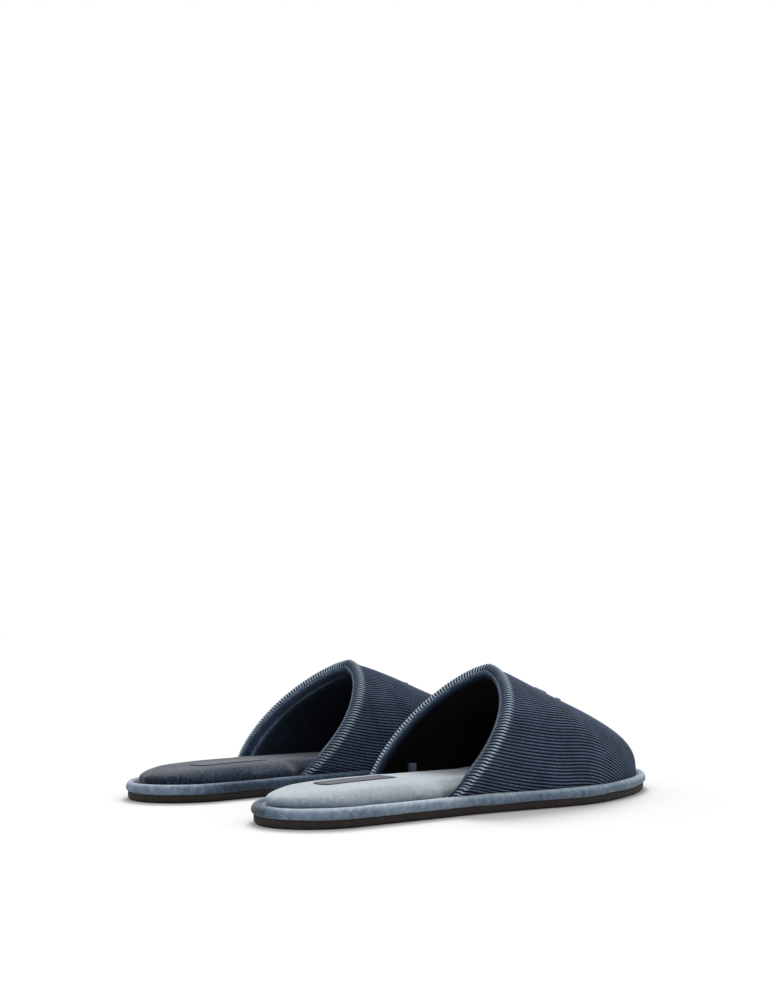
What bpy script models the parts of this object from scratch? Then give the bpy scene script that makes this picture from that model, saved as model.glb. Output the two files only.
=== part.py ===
"""A pair of closed-toe mule slippers, in metres, toes along +Y, soles on Z = 0.

Each slipper is shaped once, as a right one with its heel at Y = 0 and its outer side at +X.
The left one is its mirror image. The pair's origin is the bottom centre of its bounding box.
"""
import math

import bmesh
import bpy
import numpy as np

# Outline of the platform of the right slipper: an oval heel, a waist and an oval toe
LENGTH = 0.286
HEEL_MIDDLE = (0.0016, 0.0398)
HEEL_OUTER, HEEL_INNER = 0.0327, 0.0324     # half widths of the heel
WAIST_OUTER, WAIST_INNER = (0.0425, 0.110), (-0.0357, 0.118)
BALL_OUTER, BALL_INNER = (0.0568, 0.180), (-0.0488, 0.185)     # widest points
TOE_X = -0.0019
HEEL_ROUND, TOE_ROUND_OUTER, TOE_ROUND_INNER = 2.0, 1.9, 2.15  # 2 is an ellipse
QUARTER_TURNS = (0.0, 22.5, 45.0, 67.5, 90.0)
CURVE_STEPS = 16            # fine steps between two points of the outline
RING_POINTS = 52            # points round a closed outline
GAP = 0.0003                # clearance between touching layers

# How the pair stands
PAIR_SPACING = 0.1229       # between the two slippers' own Y axes
LEFT_AHEAD = 0.0103         # how far the left slipper stands ahead of the right one
LIFT_MARK = 0.02            # drawn size of the two parent empties

# Sole, bottom to top
OUTSOLE_THICKNESS = 0.0038
OUTSOLE_INSET = 0.0015      # the padded band stands out past the outsole by this
OUTSOLE_BEVEL = 0.0008
BAND_TOP = 0.0102
BAND_WIDTH = 0.0038         # wall of the band at its foot
BOARD_TOP = 0.0080
FACET_GAP = 0.0010          # clearance between curved layers, whose flat facets come closer
WALL_INSET = 0.0053         # outer face of the upper where it goes down behind the band

# Footbed
PAD_SHOULDER = 0.0104       # height where the pad's side turns into its dome
PAD_CROWN = 0.0182
SOCK_THICKNESS = 0.0010
PAD_STEPS = (0.0, 0.06, 0.18, 0.40, 0.75)     # share of the way from the pad's edge to its spine
SPINE_HEEL, SPINE_TOE = 0.036, 0.240          # ends of the pad's spine
SPINE_X = 0.001
TUCK_START, TUCK_END = 0.078, 0.092           # where the pad narrows to go inside the upper

# Upper
SKIN = 0.0010               # corduroy and lining thickness
WALL = 0.0073               # corduroy, padding and lining together
EDGE_BASE_OUTER, EDGE_BASE_INNER = 0.0990, 0.0942    # Y of the rear edge at the platform
EDGE_BOW_OUTER, EDGE_BOW_INNER = 1.21, 0.79          # 1 is a straight edge, above 1 bows forward
RIDGE_REAR = (0.160, 0.0736)     # Y and Z of the rear edge's highest point
RIDGE_FRONT = (0.245, 0.0443)    # Y and Z of a point lower down the ridge
NOSE_START = 0.2065         # where the ridge starts to round over to the toe
NOSE_POWER = 3.36
ACROSS_POWER = 1.3          # cross sections: below 2 the ridge is pointed
UPWARD_POWER = 3.2          # cross sections: above 2 the sides stand upright
RIDGE_LEAN = -0.0056        # the ridge lies this far from the middle, to the inner side
LEAN_FADE = (0.230, 0.275)       # the lean dies out towards the toe
UPPER_COLUMNS = 28
COLUMN_CROWDING = 0.80      # strips are narrower near the platform, by this share of their width
TURN_BACK = 0.0030          # width of corduroy turned to the inside behind the rear edge
ROLL_STEPS = 4
ROLL_SHORTENED = 0.9        # share of the first and last strip that the padding cord leaves free
LINING_SEAM_RADIUS = 0.0007
WELT_SEAM_RADIUS = 0.0006
WELT_SEAM_INSET = 0.0032
SHORTEST_COLUMN = 0.006     # length of the upper's first and last strips, along the platform

# Small pieces
LABEL_LENGTH, LABEL_WIDTH, LABEL_THICKNESS = 0.048, 0.014, 0.0006
LABEL_CENTRE = (-0.0015, 0.061)
MOTIF_Y, MOTIF_ARC = 0.206, 0.001       # distance along the slipper, and sideways from the ridge
MOTIF_HALF = 0.0055
MOTIF_THICKNESS = 0.0010
TAG_SIZE = (0.0008, 0.006, 0.013)
TAG_PLACE = (-0.0216, 0.123, 0.0151)

SAMPLES = 181               # points used to measure along a cross section


def quarter(middle, reach, power, turns=QUARTER_TURNS):
    """Points along a quarter of an oval, from its side to its end. reach is signed."""
    turns = np.radians(turns)
    x = middle[0] + reach[0] * np.cos(turns).clip(0.0) ** (2.0 / power)
    y = middle[1] + reach[1] * np.sin(turns).clip(0.0) ** (2.0 / power)
    return np.column_stack([x, y])


def outline_knots():
    """Points of the platform's outline, counter-clockwise from the heel by the outer side."""
    outer_toe = (BALL_OUTER[0] - TOE_X, LENGTH - BALL_OUTER[1])
    inner_toe = (BALL_INNER[0] - TOE_X, LENGTH - BALL_INNER[1])
    return np.vstack([
        quarter(HEEL_MIDDLE, (HEEL_OUTER, -HEEL_MIDDLE[1]), HEEL_ROUND)[::-1],
        [WAIST_OUTER],
        quarter((TOE_X, BALL_OUTER[1]), outer_toe, TOE_ROUND_OUTER),
        quarter((TOE_X, BALL_INNER[1]), inner_toe, TOE_ROUND_INNER)[-2::-1],
        [WAIST_INNER],
        quarter(HEEL_MIDDLE, (-HEEL_INNER, -HEEL_MIDDLE[1]), HEEL_ROUND)[:-1],
    ])


def closed_curve(knots, count):
    """Even steps along a smooth closed curve through the given points, as an array."""
    total = len(knots)
    spans = np.linalg.norm(np.roll(knots, -1, axis=0) - knots, axis=1)
    slopes = np.empty_like(knots)
    for i in range(total):
        reach = spans[i - 1] + spans[i]
        slopes[i] = (knots[(i + 1) % total] - knots[i - 1]) / reach
    fine = []
    for i in range(total):
        j = (i + 1) % total
        for t in np.linspace(0.0, 1.0, CURVE_STEPS, endpoint=False):
            h0 = 2 * t**3 - 3 * t**2 + 1
            h1 = t**3 - 2 * t**2 + t
            h3 = t**3 - t**2
            tangents = (h1 * slopes[i] + h3 * slopes[j]) * spans[i]
            fine.append(h0 * knots[i] + (1 - h0) * knots[j] + tangents)
    fine = np.array(fine + [fine[0]])
    walked = np.concatenate([[0.0], np.cumsum(np.linalg.norm(np.diff(fine, axis=0), axis=1))])
    steps = np.linspace(0.0, walked[-1], count, endpoint=False)
    return np.column_stack([np.interp(steps, walked, fine[:, axis]) for axis in (0, 1)])


def outline(inset, count=RING_POINTS):
    """The platform's outline moved inwards by inset, a number or one value for each point."""
    ring = closed_curve(outline_knots(), count)
    along = np.roll(ring, -1, axis=0) - np.roll(ring, 1, axis=0)
    along /= np.linalg.norm(along, axis=1)[:, None]
    inward = np.column_stack([-along[:, 1], along[:, 0]])
    return ring + inward * np.broadcast_to(inset, count)[:, None]


def at_height(ring, height):
    return [(x, y, height) for x, y in ring]


def smooth_step(value, low, high):
    t = np.clip((value - low) / (high - low), 0.0, 1.0)
    return t * t * (3.0 - 2.0 * t)


# --- the upper's surface -------------------------------------------------------------------------

def ridge_height(y, inset):
    """Height of the ridge above the board at a place along the slipper."""
    slope = (RIDGE_FRONT[1] - RIDGE_REAR[1]) / (RIDGE_FRONT[0] - RIDGE_REAR[0])
    line = RIDGE_REAR[1] + slope * (y - RIDGE_REAR[0]) - BOARD_TOP - GAP
    line -= inset * math.hypot(1.0, slope)
    toe = toe_end(inset)
    nose = NOSE_START - inset
    share = min(max((y - nose) / (toe - nose), 0.0), 1.0)
    return max(line * (1.0 - share**NOSE_POWER) ** (1.0 / NOSE_POWER), 0.0)


def toe_end(inset):
    return LENGTH - WALL_INSET - inset


def side_lines(inset):
    """X of the outer and of the inner side against Y, for the upper moved inwards by inset."""
    ring = outline(WALL_INSET + inset, 240)
    toe = int(np.argmax(ring[:, 1]))
    heel = int(np.argmin(ring[:, 1]))
    ring = np.roll(ring, -heel, axis=0)
    toe = (toe - heel) % len(ring)
    outer = ring[: toe + 1]
    inner = np.vstack([ring[toe:], ring[:1]])[::-1]
    return outer, inner


class UpperSurface:
    """One layer of the upper: the surface that lies inset inside its outer face."""

    def __init__(self, inset):
        self.inset = inset
        self.outer, self.inner = side_lines(inset)
        self.angles = np.linspace(0.0, math.pi, SAMPLES)
        self.toe = min(self.outer[-1][1], self.inner[-1][1]) - 1e-5

    def section(self, y):
        """The whole arch of the cross section at y, from the outer side to the inner side."""
        y = min(y, self.toe)
        right = np.interp(y, self.outer[:, 1], self.outer[:, 0])
        left = np.interp(y, self.inner[:, 1], self.inner[:, 0])
        middle, half = (right + left) / 2, max((right - left) / 2, 1e-4)
        cosine, sine = np.cos(self.angles), np.abs(np.sin(self.angles))
        x = middle + half * np.sign(cosine) * np.abs(cosine) ** (2.0 / ACROSS_POWER)
        x += RIDGE_LEAN * (1.0 - smooth_step(y, *LEAN_FADE)) * sine ** (2.0 / ACROSS_POWER)
        z = BOARD_TOP + GAP + ridge_height(y, self.inset) * sine ** (2.0 / UPWARD_POWER)
        steps = np.hypot(np.diff(x), np.diff(z))
        arc = np.concatenate([[0.0], np.cumsum(steps)])
        return x, z, arc - np.interp(math.pi / 2, self.angles, arc)

    def point(self, y, arc):
        """The point at y that lies a distance arc from the ridge, positive to the inner side."""
        x, z, arcs = self.section(y)
        return np.array([np.interp(arc, arcs, x), min(y, self.toe), np.interp(arc, arcs, z)])

    def edge(self, angle):
        """Where the slanted rear edge crosses the line at angle, as its Y and its arc."""
        low, high = min(EDGE_BASE_OUTER, EDGE_BASE_INNER), RIDGE_REAR[0]
        base = EDGE_BASE_OUTER + (EDGE_BASE_INNER - EDGE_BASE_OUTER) * angle / math.pi
        bow = EDGE_BOW_OUTER + (EDGE_BOW_INNER - EDGE_BOW_OUTER) * smooth_step(angle, 0.0, math.pi)
        top = ridge_height(RIDGE_REAR[0], self.inset)
        for _ in range(40):
            y = (low + high) / 2
            x, z, arcs = self.section(y)
            rise = (np.interp(angle, self.angles, z) - BOARD_TOP - GAP) / top
            if base + (RIDGE_REAR[0] - base) * max(rise, 0.0) ** bow > y:
                low = y
            else:
                high = y
        return y, float(np.interp(angle, self.angles, arcs))

    def column_end(self, start, arc):
        """How far forward a strip at arc runs before it goes down behind the band."""
        side = 0 if arc < 0 else -1
        low, high = start, self.toe
        for _ in range(40):
            y = (low + high) / 2
            if abs(self.section(y)[2][side]) > abs(arc):
                low = y
            else:
                high = y
        return max(y, start + SHORTEST_COLUMN)

    def grid(self, rows, first=0.0, last=1.0, columns=UPPER_COLUMNS):
        """Strips from the rear edge forwards. first is how far in front of the edge they start."""
        strips = []
        for share in np.linspace(0.0, 1.0, columns + 1):
            angle = math.pi * share - COLUMN_CROWDING * math.sin(2 * math.pi * share) / 2
            start, arc = self.edge(angle)
            end = self.column_end(start + first, arc)
            stop = start + first + (end - start - first) * last
            ys = start + first + (stop - start - first) * np.sin(np.linspace(0, math.pi / 2, rows))
            strips.append([self.point(y, arc) for y in ys])
        return strips


# --- solids --------------------------------------------------------------------------------------

def new_solid(name, mesh_data, place):
    """Makes an object of the mesh, with outward faces, at its slipper."""
    mesh_data.verts.ensure_lookup_table()
    if place["mirror"]:
        bmesh.ops.scale(mesh_data, vec=(-1.0, 1.0, 1.0), verts=mesh_data.verts)
    bmesh.ops.recalc_face_normals(mesh_data, faces=mesh_data.faces)
    if mesh_data.calc_volume(signed=True) < 0:
        bmesh.ops.reverse_faces(mesh_data, faces=mesh_data.faces)
    mesh = bpy.data.meshes.new(name)
    mesh_data.to_mesh(mesh)
    mesh_data.free()
    mesh.shade_smooth()
    mesh.set_sharp_from_angle(angle=math.radians(40))
    solid = bpy.data.objects.new(place["side"] + "_" + name, mesh)
    bpy.context.scene.collection.objects.link(solid)
    solid.parent = place["empty"]
    return solid


def loft(rings, closed=False):
    """Skins a stack of rings. Closed joins the last ring to the first, else both ends are capped."""
    skin = bmesh.new()
    rows = [[skin.verts.new(point) for point in ring] for ring in rings]
    pairs = list(zip(rows, rows[1:]))
    if closed:
        pairs.append((rows[-1], rows[0]))
    for low, high in pairs:
        for i in range(len(low)):
            j = (i + 1) % len(low)
            skin.faces.new((low[i], low[j], high[j], high[i]))
    if not closed:
        skin.faces.new(rows[0][::-1])
        skin.faces.new(rows[-1])
    return skin


def thick_sheet(face, back):
    """A solid between two grids of the same size."""
    skin = bmesh.new()
    sheets = [[[skin.verts.new(p) for p in strip] for strip in grid] for grid in (face, back)]
    columns, rows = len(face), len(face[0])
    for sheet in sheets:
        for i in range(columns - 1):
            for k in range(rows - 1):
                skin.faces.new((sheet[i][k], sheet[i + 1][k], sheet[i + 1][k + 1], sheet[i][k + 1]))
    rim = [(i, 0) for i in range(columns)]
    rim += [(columns - 1, k) for k in range(1, rows)]
    rim += [(i, rows - 1) for i in range(columns - 2, -1, -1)]
    rim += [(0, k) for k in range(rows - 2, 0, -1)]
    for (i, k), (m, n) in zip(rim, rim[1:] + rim[:1]):
        skin.faces.new((sheets[0][i][k], sheets[0][m][n], sheets[1][m][n], sheets[1][i][k]))
    return skin


def tube(path, radius, sides, closed=False):
    """A round thread or cord along a path."""
    path = [np.array(point) for point in path]
    rings = []
    for i, centre in enumerate(path):
        if closed:
            along = path[(i + 1) % len(path)] - path[i - 1]
        else:
            along = path[min(i + 1, len(path) - 1)] - path[max(i - 1, 0)]
        along /= np.linalg.norm(along)
        across = np.cross(along, (0.0, 0.0, 1.0))
        if np.linalg.norm(across) < 0.3:
            across = np.cross(along, (0.0, 1.0, 0.0))
        across /= np.linalg.norm(across)
        upward = np.cross(across, along)
        turns = [2 * math.pi * k / sides for k in range(sides)]
        rings.append([centre + radius * (math.cos(t) * across + math.sin(t) * upward) for t in turns])
    return loft(rings, closed)


# --- sole pieces ---------------------------------------------------------------------------------

def outsole(place):
    edge = outline(OUTSOLE_INSET)
    bevelled = outline(OUTSOLE_INSET + OUTSOLE_BEVEL)
    rings = [at_height(bevelled, 0.0), at_height(edge, OUTSOLE_BEVEL)]
    rings += [at_height(edge, OUTSOLE_THICKNESS)]
    return new_solid("outsole", loft(rings), place)


def midsole_board(place):
    edge = outline(BAND_WIDTH + GAP)
    rings = [at_height(edge, OUTSOLE_THICKNESS + GAP), at_height(edge, BOARD_TOP)]
    return new_solid("midsole_board", loft(rings), place)


def platform_band(place):
    low = OUTSOLE_THICKNESS + GAP
    high = BAND_TOP - low
    profile = [
        (BAND_WIDTH, low), (0.0016, low), (0.0004, low + 0.22 * high), (0.0, low + 0.50 * high),
        (0.0009, low + 0.82 * high), (0.0024, BAND_TOP), (BAND_WIDTH, BAND_TOP - 0.0010),
    ]
    rings = [at_height(outline(inset), height) for inset, height in profile]
    return new_solid("platform_band", loft(rings, closed=True), place)


def pad_edge(extra):
    """The footbed's outline: up against the band at the heel, inside the upper in front."""
    ring = outline(0.0)
    inside_upper = smooth_step(ring[:, 1], TUCK_START, TUCK_END)
    heel_inset = WALL_INSET
    toe_inset = WALL_INSET + WALL + 3 * FACET_GAP
    return outline(heel_inset + (toe_inset - heel_inset) * inside_upper + extra)


def pad_rings(drop):
    """Rings of the domed pad, edge to crown, drop below the footbed's top face."""
    edge = pad_edge(drop)
    spine = np.column_stack([np.full(len(edge), SPINE_X), np.clip(edge[:, 1], SPINE_HEEL, SPINE_TOE)])
    rings = []
    for share in PAD_STEPS:
        rise = math.sin(math.pi / 2 * share / PAD_STEPS[-1]) ** 0.8
        height = PAD_SHOULDER + (PAD_CROWN - PAD_SHOULDER) * rise - drop
        rings.append(at_height(edge + (spine - edge) * share, height))
    return rings


def insole_foam(place):
    drop = SOCK_THICKNESS + GAP
    foot = at_height(pad_edge(drop), BOARD_TOP + GAP)
    return new_solid("insole_foam", loft([foot] + pad_rings(drop)), place)


def sock_cover(place):
    inner_foot = at_height(pad_edge(SOCK_THICKNESS), BOARD_TOP + GAP)
    outer_foot = at_height(pad_edge(0.0), BOARD_TOP + GAP)
    rings = pad_rings(SOCK_THICKNESS)[::-1] + [inner_foot, outer_foot] + pad_rings(0.0)
    return new_solid("sock_cover", loft(rings), place)


def heel_label(place):
    """A flat strip with round ends."""
    ends = []
    for side in (-1, 1):
        middle = LABEL_CENTRE[1] - side * (LABEL_LENGTH - LABEL_WIDTH) / 2
        for k in range(9):
            turn = math.pi * k / 8 + (0 if side < 0 else math.pi)
            x = LABEL_CENTRE[0] + LABEL_WIDTH / 2 * math.cos(turn)
            ends.append((x, middle + LABEL_WIDTH / 2 * math.sin(turn)))
    low = PAD_CROWN + GAP
    rings = [at_height(ends, low), at_height(ends, low + LABEL_THICKNESS)]
    return new_solid("heel_label", loft(rings), place)


def welt_seam(place):
    """The thread in the crease on top of the band."""
    height = BAND_TOP + WELT_SEAM_RADIUS + GAP
    path = at_height(outline(WELT_SEAM_INSET), height)
    return new_solid("welt_seam", tube(path, WELT_SEAM_RADIUS, 4, closed=True), place)


# --- upper pieces --------------------------------------------------------------------------------

def roll_centres():
    """Centre, radius and directions of the round rear edge, one entry for each strip."""
    face = UpperSurface(0.0).grid(3, 0.0, 0.2)
    back = UpperSurface(WALL).grid(3, 0.0, 0.2)
    roll = []
    for near, far in zip(face, back):
        centre = (near[0] + far[0]) / 2
        outward = near[0] - centre
        radius = np.linalg.norm(outward)
        outward /= radius
        rearward = near[0] - near[1]
        rearward -= outward * rearward.dot(outward)
        rearward[2] = max(rearward[2], 0.0)
        roll.append((centre, radius, outward, rearward / np.linalg.norm(rearward)))
    return roll


def wrapped_strips(depth):
    """Strips of corduroy: turned back inside, round the rear edge, then over the outer face."""
    inside = UpperSurface(WALL - depth).grid(2, 0.0, 0.2)
    outside = UpperSurface(depth).grid(9)
    strips = []
    for i, (centre, radius, outward, rearward) in enumerate(roll_centres()):
        reach = radius - depth
        forward = (inside[i][1] - inside[i][0]) / np.linalg.norm(inside[i][1] - inside[i][0])
        strip = [inside[i][0] + forward * TURN_BACK]
        for k in range(ROLL_STEPS + 1):
            turn = math.pi * (1 - k / ROLL_STEPS)
            strip.append(centre + reach * (math.cos(turn) * outward + math.sin(turn) * rearward))
        for point in strip:
            point[2] = max(point[2], BOARD_TOP + GAP)
        strips.append(strip + outside[i][1:])
    return strips


def vamp_outer(place):
    return new_solid("vamp_outer", thick_sheet(wrapped_strips(0.0), wrapped_strips(SKIN)), place)


def vamp_padding(place):
    start = WALL / 2 + FACET_GAP
    face = UpperSurface(SKIN + FACET_GAP).grid(7, start)
    back = UpperSurface(WALL - SKIN - FACET_GAP).grid(7, start)
    return new_solid("vamp_padding", thick_sheet(face, back), place)


def vamp_lining(place):
    start = TURN_BACK + 2 * GAP
    face = UpperSurface(WALL - SKIN).grid(7, start)
    back = UpperSurface(WALL).grid(7, start)
    return new_solid("vamp_lining", thick_sheet(face, back), place)


def edge_roll(place):
    """The padding cord inside the turned rear edge."""
    roll = roll_centres()
    radius = min(entry[1] for entry in roll) - SKIN - FACET_GAP
    path = [entry[0] for entry in roll]
    path[0] += (path[1] - path[0]) * ROLL_SHORTENED
    path[-1] += (path[-2] - path[-1]) * ROLL_SHORTENED
    return new_solid("edge_roll", tube(path, radius, 6), place)


def lining_seam(place):
    """The thread that joins the turned corduroy to the lining, just inside the opening."""
    inset = WALL + LINING_SEAM_RADIUS + GAP
    path = [strip[0] for strip in UpperSurface(inset).grid(2, TURN_BACK)]
    low = BOARD_TOP + GAP
    path = [point for point in path if point[2] > low + 0.004]
    return new_solid("lining_seam", tube(path, LINING_SEAM_RADIUS, 4), place)


def motif(place):
    """A small raised lozenge sewn on the ridge."""
    grids = []
    for lift in (GAP + MOTIF_THICKNESS, GAP):
        surface = UpperSurface(-lift)
        grid = []
        for across in np.linspace(-1.0, 1.0, 5):
            strip = []
            for along in np.linspace(-1.0, 1.0, 5):
                y = MOTIF_Y + MOTIF_HALF * (along + across) / math.sqrt(2)
                arc = MOTIF_ARC + MOTIF_HALF * (across - along) / math.sqrt(2)
                strip.append(surface.point(y, arc))
            grid.append(strip)
        grids.append(grid)
    return new_solid("motif", thick_sheet(*grids), place)


def size_tag(place):
    """A small folded tag that stands in the crease beside the footbed."""
    skin = bmesh.new()
    bmesh.ops.create_cube(skin, size=1.0)
    bmesh.ops.scale(skin, vec=TAG_SIZE, verts=skin.verts)
    bmesh.ops.bevel(skin, geom=skin.edges[:], offset=TAG_SIZE[0] / 4, segments=1, affect="EDGES")
    bmesh.ops.translate(skin, vec=TAG_PLACE, verts=skin.verts)
    return new_solid("size_tag", skin, place)


# --- finishes ------------------------------------------------------------------------------------

FINISHES = {
    "outsole": ((0.020, 0.017, 0.016), 0.85),
    "midsole_board": ((0.30, 0.25, 0.19), 0.80),
    "platform_band": ((0.14, 0.19, 0.25), 0.95),
    "insole_foam": ((0.70, 0.68, 0.60), 0.90),
    "sock_cover": ((0.28, 0.35, 0.42), 0.95),
    "heel_label": ((0.030, 0.035, 0.050), 0.70),
    "welt_seam": ((0.020, 0.028, 0.045), 0.80),
    "vamp_outer": ((0.022, 0.034, 0.058), 0.90),
    "vamp_padding": ((0.70, 0.68, 0.62), 0.90),
    "vamp_lining": ((0.012, 0.016, 0.026), 0.75),
    "edge_roll": ((0.65, 0.63, 0.58), 0.90),
    "lining_seam": ((0.16, 0.21, 0.28), 0.80),
    "motif": ((0.20, 0.26, 0.34), 0.70),
    "size_tag": ((0.45, 0.48, 0.52), 0.70),
}
PIECES = (
    outsole, midsole_board, platform_band, insole_foam, sock_cover, heel_label, welt_seam,
    vamp_outer, vamp_padding, vamp_lining, edge_roll, lining_seam, motif, size_tag,
)


def finish_material(solid, piece):
    """A Principled material of the piece's own, fully rough and not metallic."""
    colour, roughness = FINISHES[piece]
    material = bpy.data.materials.new(solid.name)
    material.use_nodes = True
    shader = material.node_tree.nodes["Principled BSDF"]
    shader.inputs["Base Color"].default_value = (*colour, 1.0)
    shader.inputs["Roughness"].default_value = roughness
    shader.inputs["Metallic"].default_value = 0.0
    material.diffuse_color = (*colour, 1.0)
    solid.data.materials.append(material)


def slipper(side):
    """One slipper, all its pieces parented to an empty on its lifting axis."""
    ring = outline(0.0)
    middle_y = (ring[:, 1].min() + ring[:, 1].max() + LEFT_AHEAD) / 2
    left = side == "left"
    empty = bpy.data.objects.new(side + "_slipper", None)
    empty.empty_display_size = LIFT_MARK
    sign = -1.0 if left else 1.0
    empty.location = (sign * PAIR_SPACING / 2, (LEFT_AHEAD if left else 0.0) - middle_y, 0.0)
    bpy.context.scene.collection.objects.link(empty)
    place = {"side": side, "mirror": left, "empty": empty}
    for piece in PIECES:
        finish_material(piece(place), piece.__name__)


def main():
    for thing in list(bpy.data.objects):
        bpy.data.objects.remove(thing)
    for side in ("right", "left"):
        slipper(side)


main()
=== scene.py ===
"""The looks of a pair of corduroy mule slippers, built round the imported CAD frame.

Lengths are in metres. Each slipper is shaped once, as a right one with its heel at Y = 0 and its
outer side at +X, and is then put where its CAD body stands. The left one is its mirror image.
"""
import math

import bmesh
import bpy
import numpy as np
from mathutils import Matrix, Vector
from mathutils.bvhtree import BVHTree


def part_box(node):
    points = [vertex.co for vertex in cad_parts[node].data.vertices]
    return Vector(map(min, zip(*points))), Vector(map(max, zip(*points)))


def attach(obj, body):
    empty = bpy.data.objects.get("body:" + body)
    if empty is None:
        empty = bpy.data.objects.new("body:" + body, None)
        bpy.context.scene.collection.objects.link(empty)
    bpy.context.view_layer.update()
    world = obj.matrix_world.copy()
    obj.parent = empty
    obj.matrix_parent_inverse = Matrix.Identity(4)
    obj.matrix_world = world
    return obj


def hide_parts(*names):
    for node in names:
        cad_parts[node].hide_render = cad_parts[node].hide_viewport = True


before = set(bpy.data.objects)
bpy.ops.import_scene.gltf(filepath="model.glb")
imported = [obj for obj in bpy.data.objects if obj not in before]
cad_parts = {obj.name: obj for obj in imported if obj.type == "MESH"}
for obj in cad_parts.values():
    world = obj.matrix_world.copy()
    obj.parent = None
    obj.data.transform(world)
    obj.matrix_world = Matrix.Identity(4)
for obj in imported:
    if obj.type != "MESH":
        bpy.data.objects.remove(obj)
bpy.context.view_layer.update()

# The platform's outline, as in the CAD: an oval heel, a waist and an oval toe
LENGTH = 0.286
HEEL_MIDDLE = (0.0016, 0.0398)
HEEL_OUTER, HEEL_INNER = 0.0327, 0.0324     # half widths of the heel
WAIST_OUTER, WAIST_INNER = (0.0425, 0.110), (-0.0357, 0.118)
BALL_OUTER, BALL_INNER = (0.0568, 0.180), (-0.0488, 0.185)     # widest points
TOE_X = -0.0019
HEEL_ROUND, TOE_ROUND_OUTER, TOE_ROUND_INNER = 2.0, 1.9, 2.15  # 2 is an ellipse
QUARTER_TURNS = (0.0, 22.5, 45.0, 67.5, 90.0)
RING_POINTS = 700

# Sole
OUTSOLE_TOP = 0.0040
OUTSOLE_INSET = 0.0015
TREAD_DEPTH, TREAD_PITCH, TREAD_WAVE, TREAD_SWAY = 0.0007, 0.0070, 0.022, 0.0022
OUTSOLE_WALL = (            # further inset, and height
    (0.0014, 0.0), (0.0006, 0.0003), (0.0002, 0.0008), (0.0, 0.0016), (0.0, 0.0026), (0.0, OUTSOLE_TOP),
)
BOARD_TOP = 0.0083
WALL_INSET = 0.0053         # outer face of the upper where it goes down behind the band
BAND_PROFILE = [            # inset from the outline, and height
    (0.0048, 0.0042), (0.0018, 0.0041), (0.0004, 0.0052), (0.0000, 0.0068), (0.0007, 0.0086),
    (0.0023, 0.0097), (0.0040, 0.0091), (0.0052, 0.0086), (0.0075, 0.0085), (0.0075, 0.0060),
]
BAND_MIDDLE, BAND_SEWN = (0.0030, 0.0076), 0.0052    # it puffs from the middle out, none where sewn

# Footbed
CREASE_INSET = 0.0047
PAD_SHOULDER = 0.0088       # height of the crease between band and footbed
PAD_ROUND = 0.0125          # how far in from the crease the pad reaches its full height
PAD_ROUND_POWER = 2.3
PAD_BULGE = 0.0020          # how far the heel's padding swells out over the band
PAD_SWELL, PAD_PRESSURE = 0.0019, 3.0       # the filling pushes the cover out by about this, this hard
PAD_LIMIT = 0.0018          # and nowhere further than this
PAD_SHARES = (0.0, 0.03, 0.07, 0.12, 0.18, 0.27, 0.38, 0.52, 0.68, 0.84, 0.96)   # from edge to middle
PAD_CROWN_Y = (0.000, 0.020, 0.050, 0.100, 0.130, 0.160, 0.290)
PAD_CROWN_Z = (0.0160, 0.0170, 0.0176, 0.0176, 0.0166, 0.0155, 0.0130)
SPINE_X, SPINE_HEEL, SPINE_TOE = 0.001, 0.036, 0.240      # the slipper's long middle line
TUCK_START, TUCK_END = 0.087, 0.099

# Upper, as in the CAD
SKIN = 0.0010
WALL = 0.0072
EDGE_BASE_OUTER, EDGE_BASE_INNER = 0.0965, 0.0950    # Y of the rear edge at the platform
EDGE_BOW_OUTER, EDGE_BOW_INNER = 1.06, 0.90          # 1 is a straight edge, above 1 bows forward
RIDGE_REAR = (0.160, 0.0736)     # Y and Z of the rear edge's highest point
RIDGE_FRONT = (0.245, 0.0443)
NOSE_START, NOSE_POWER = 0.2065, 3.36
ACROSS_POWER = 1.3          # cross sections: below 2 the ridge is pointed
UPWARD_POWER = 3.2          # cross sections: above 2 the sides stand upright
RIDGE_LEAN = -0.0056        # the ridge lies this far from the middle, to the inner side
LEAN_FADE = (0.230, 0.275)
EDGE_UPRIGHT = 0.0036       # the ridge leans this much less at the rear edge
EDGE_FLARE, FLARE_REACH = 0.086, 0.024   # the sides flare out low at the rear edge and draw in above
BASE_Z = BOARD_TOP
TAPER_HEIGHT = 0.016        # the wall thins towards its foot over this height
TAPER = 0.45                # share of its thickness lost there

# Corduroy
RIB_PITCH = 0.00178
RIB_COLUMNS = 6             # points across one rib
RIB_HEIGHT = 0.00034
KNUCKLE_HEIGHT = 0.0007     # the padded rear edge stands out by this
KNUCKLE_PLACE, KNUCKLE_SPREAD = -0.0005, 0.0036
MOTIF_Y, MOTIF_ARC, MOTIF_HALF = 0.2055, -0.0035, 0.0050    # ARC is measured from the ridge
CLOTH_END = math.radians(74)     # how far the corduroy goes round the rear edge's roll
ROLL_ROWS, FACE_ROWS = 10, 58


def colour(red, green, blue):
    """A linear colour from display values of 0 to 255."""
    return tuple((c / 255) ** 2.2 for c in (red, green, blue))


# --- where things are ----------------------------------------------------------------------------

def quarter(middle, reach, power, turns=QUARTER_TURNS):
    """Points along a quarter of an oval, from its side to its end. reach is signed."""
    turns = np.radians(turns)
    x = middle[0] + reach[0] * np.cos(turns).clip(0.0) ** (2.0 / power)
    y = middle[1] + reach[1] * np.sin(turns).clip(0.0) ** (2.0 / power)
    return np.column_stack([x, y])


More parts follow.
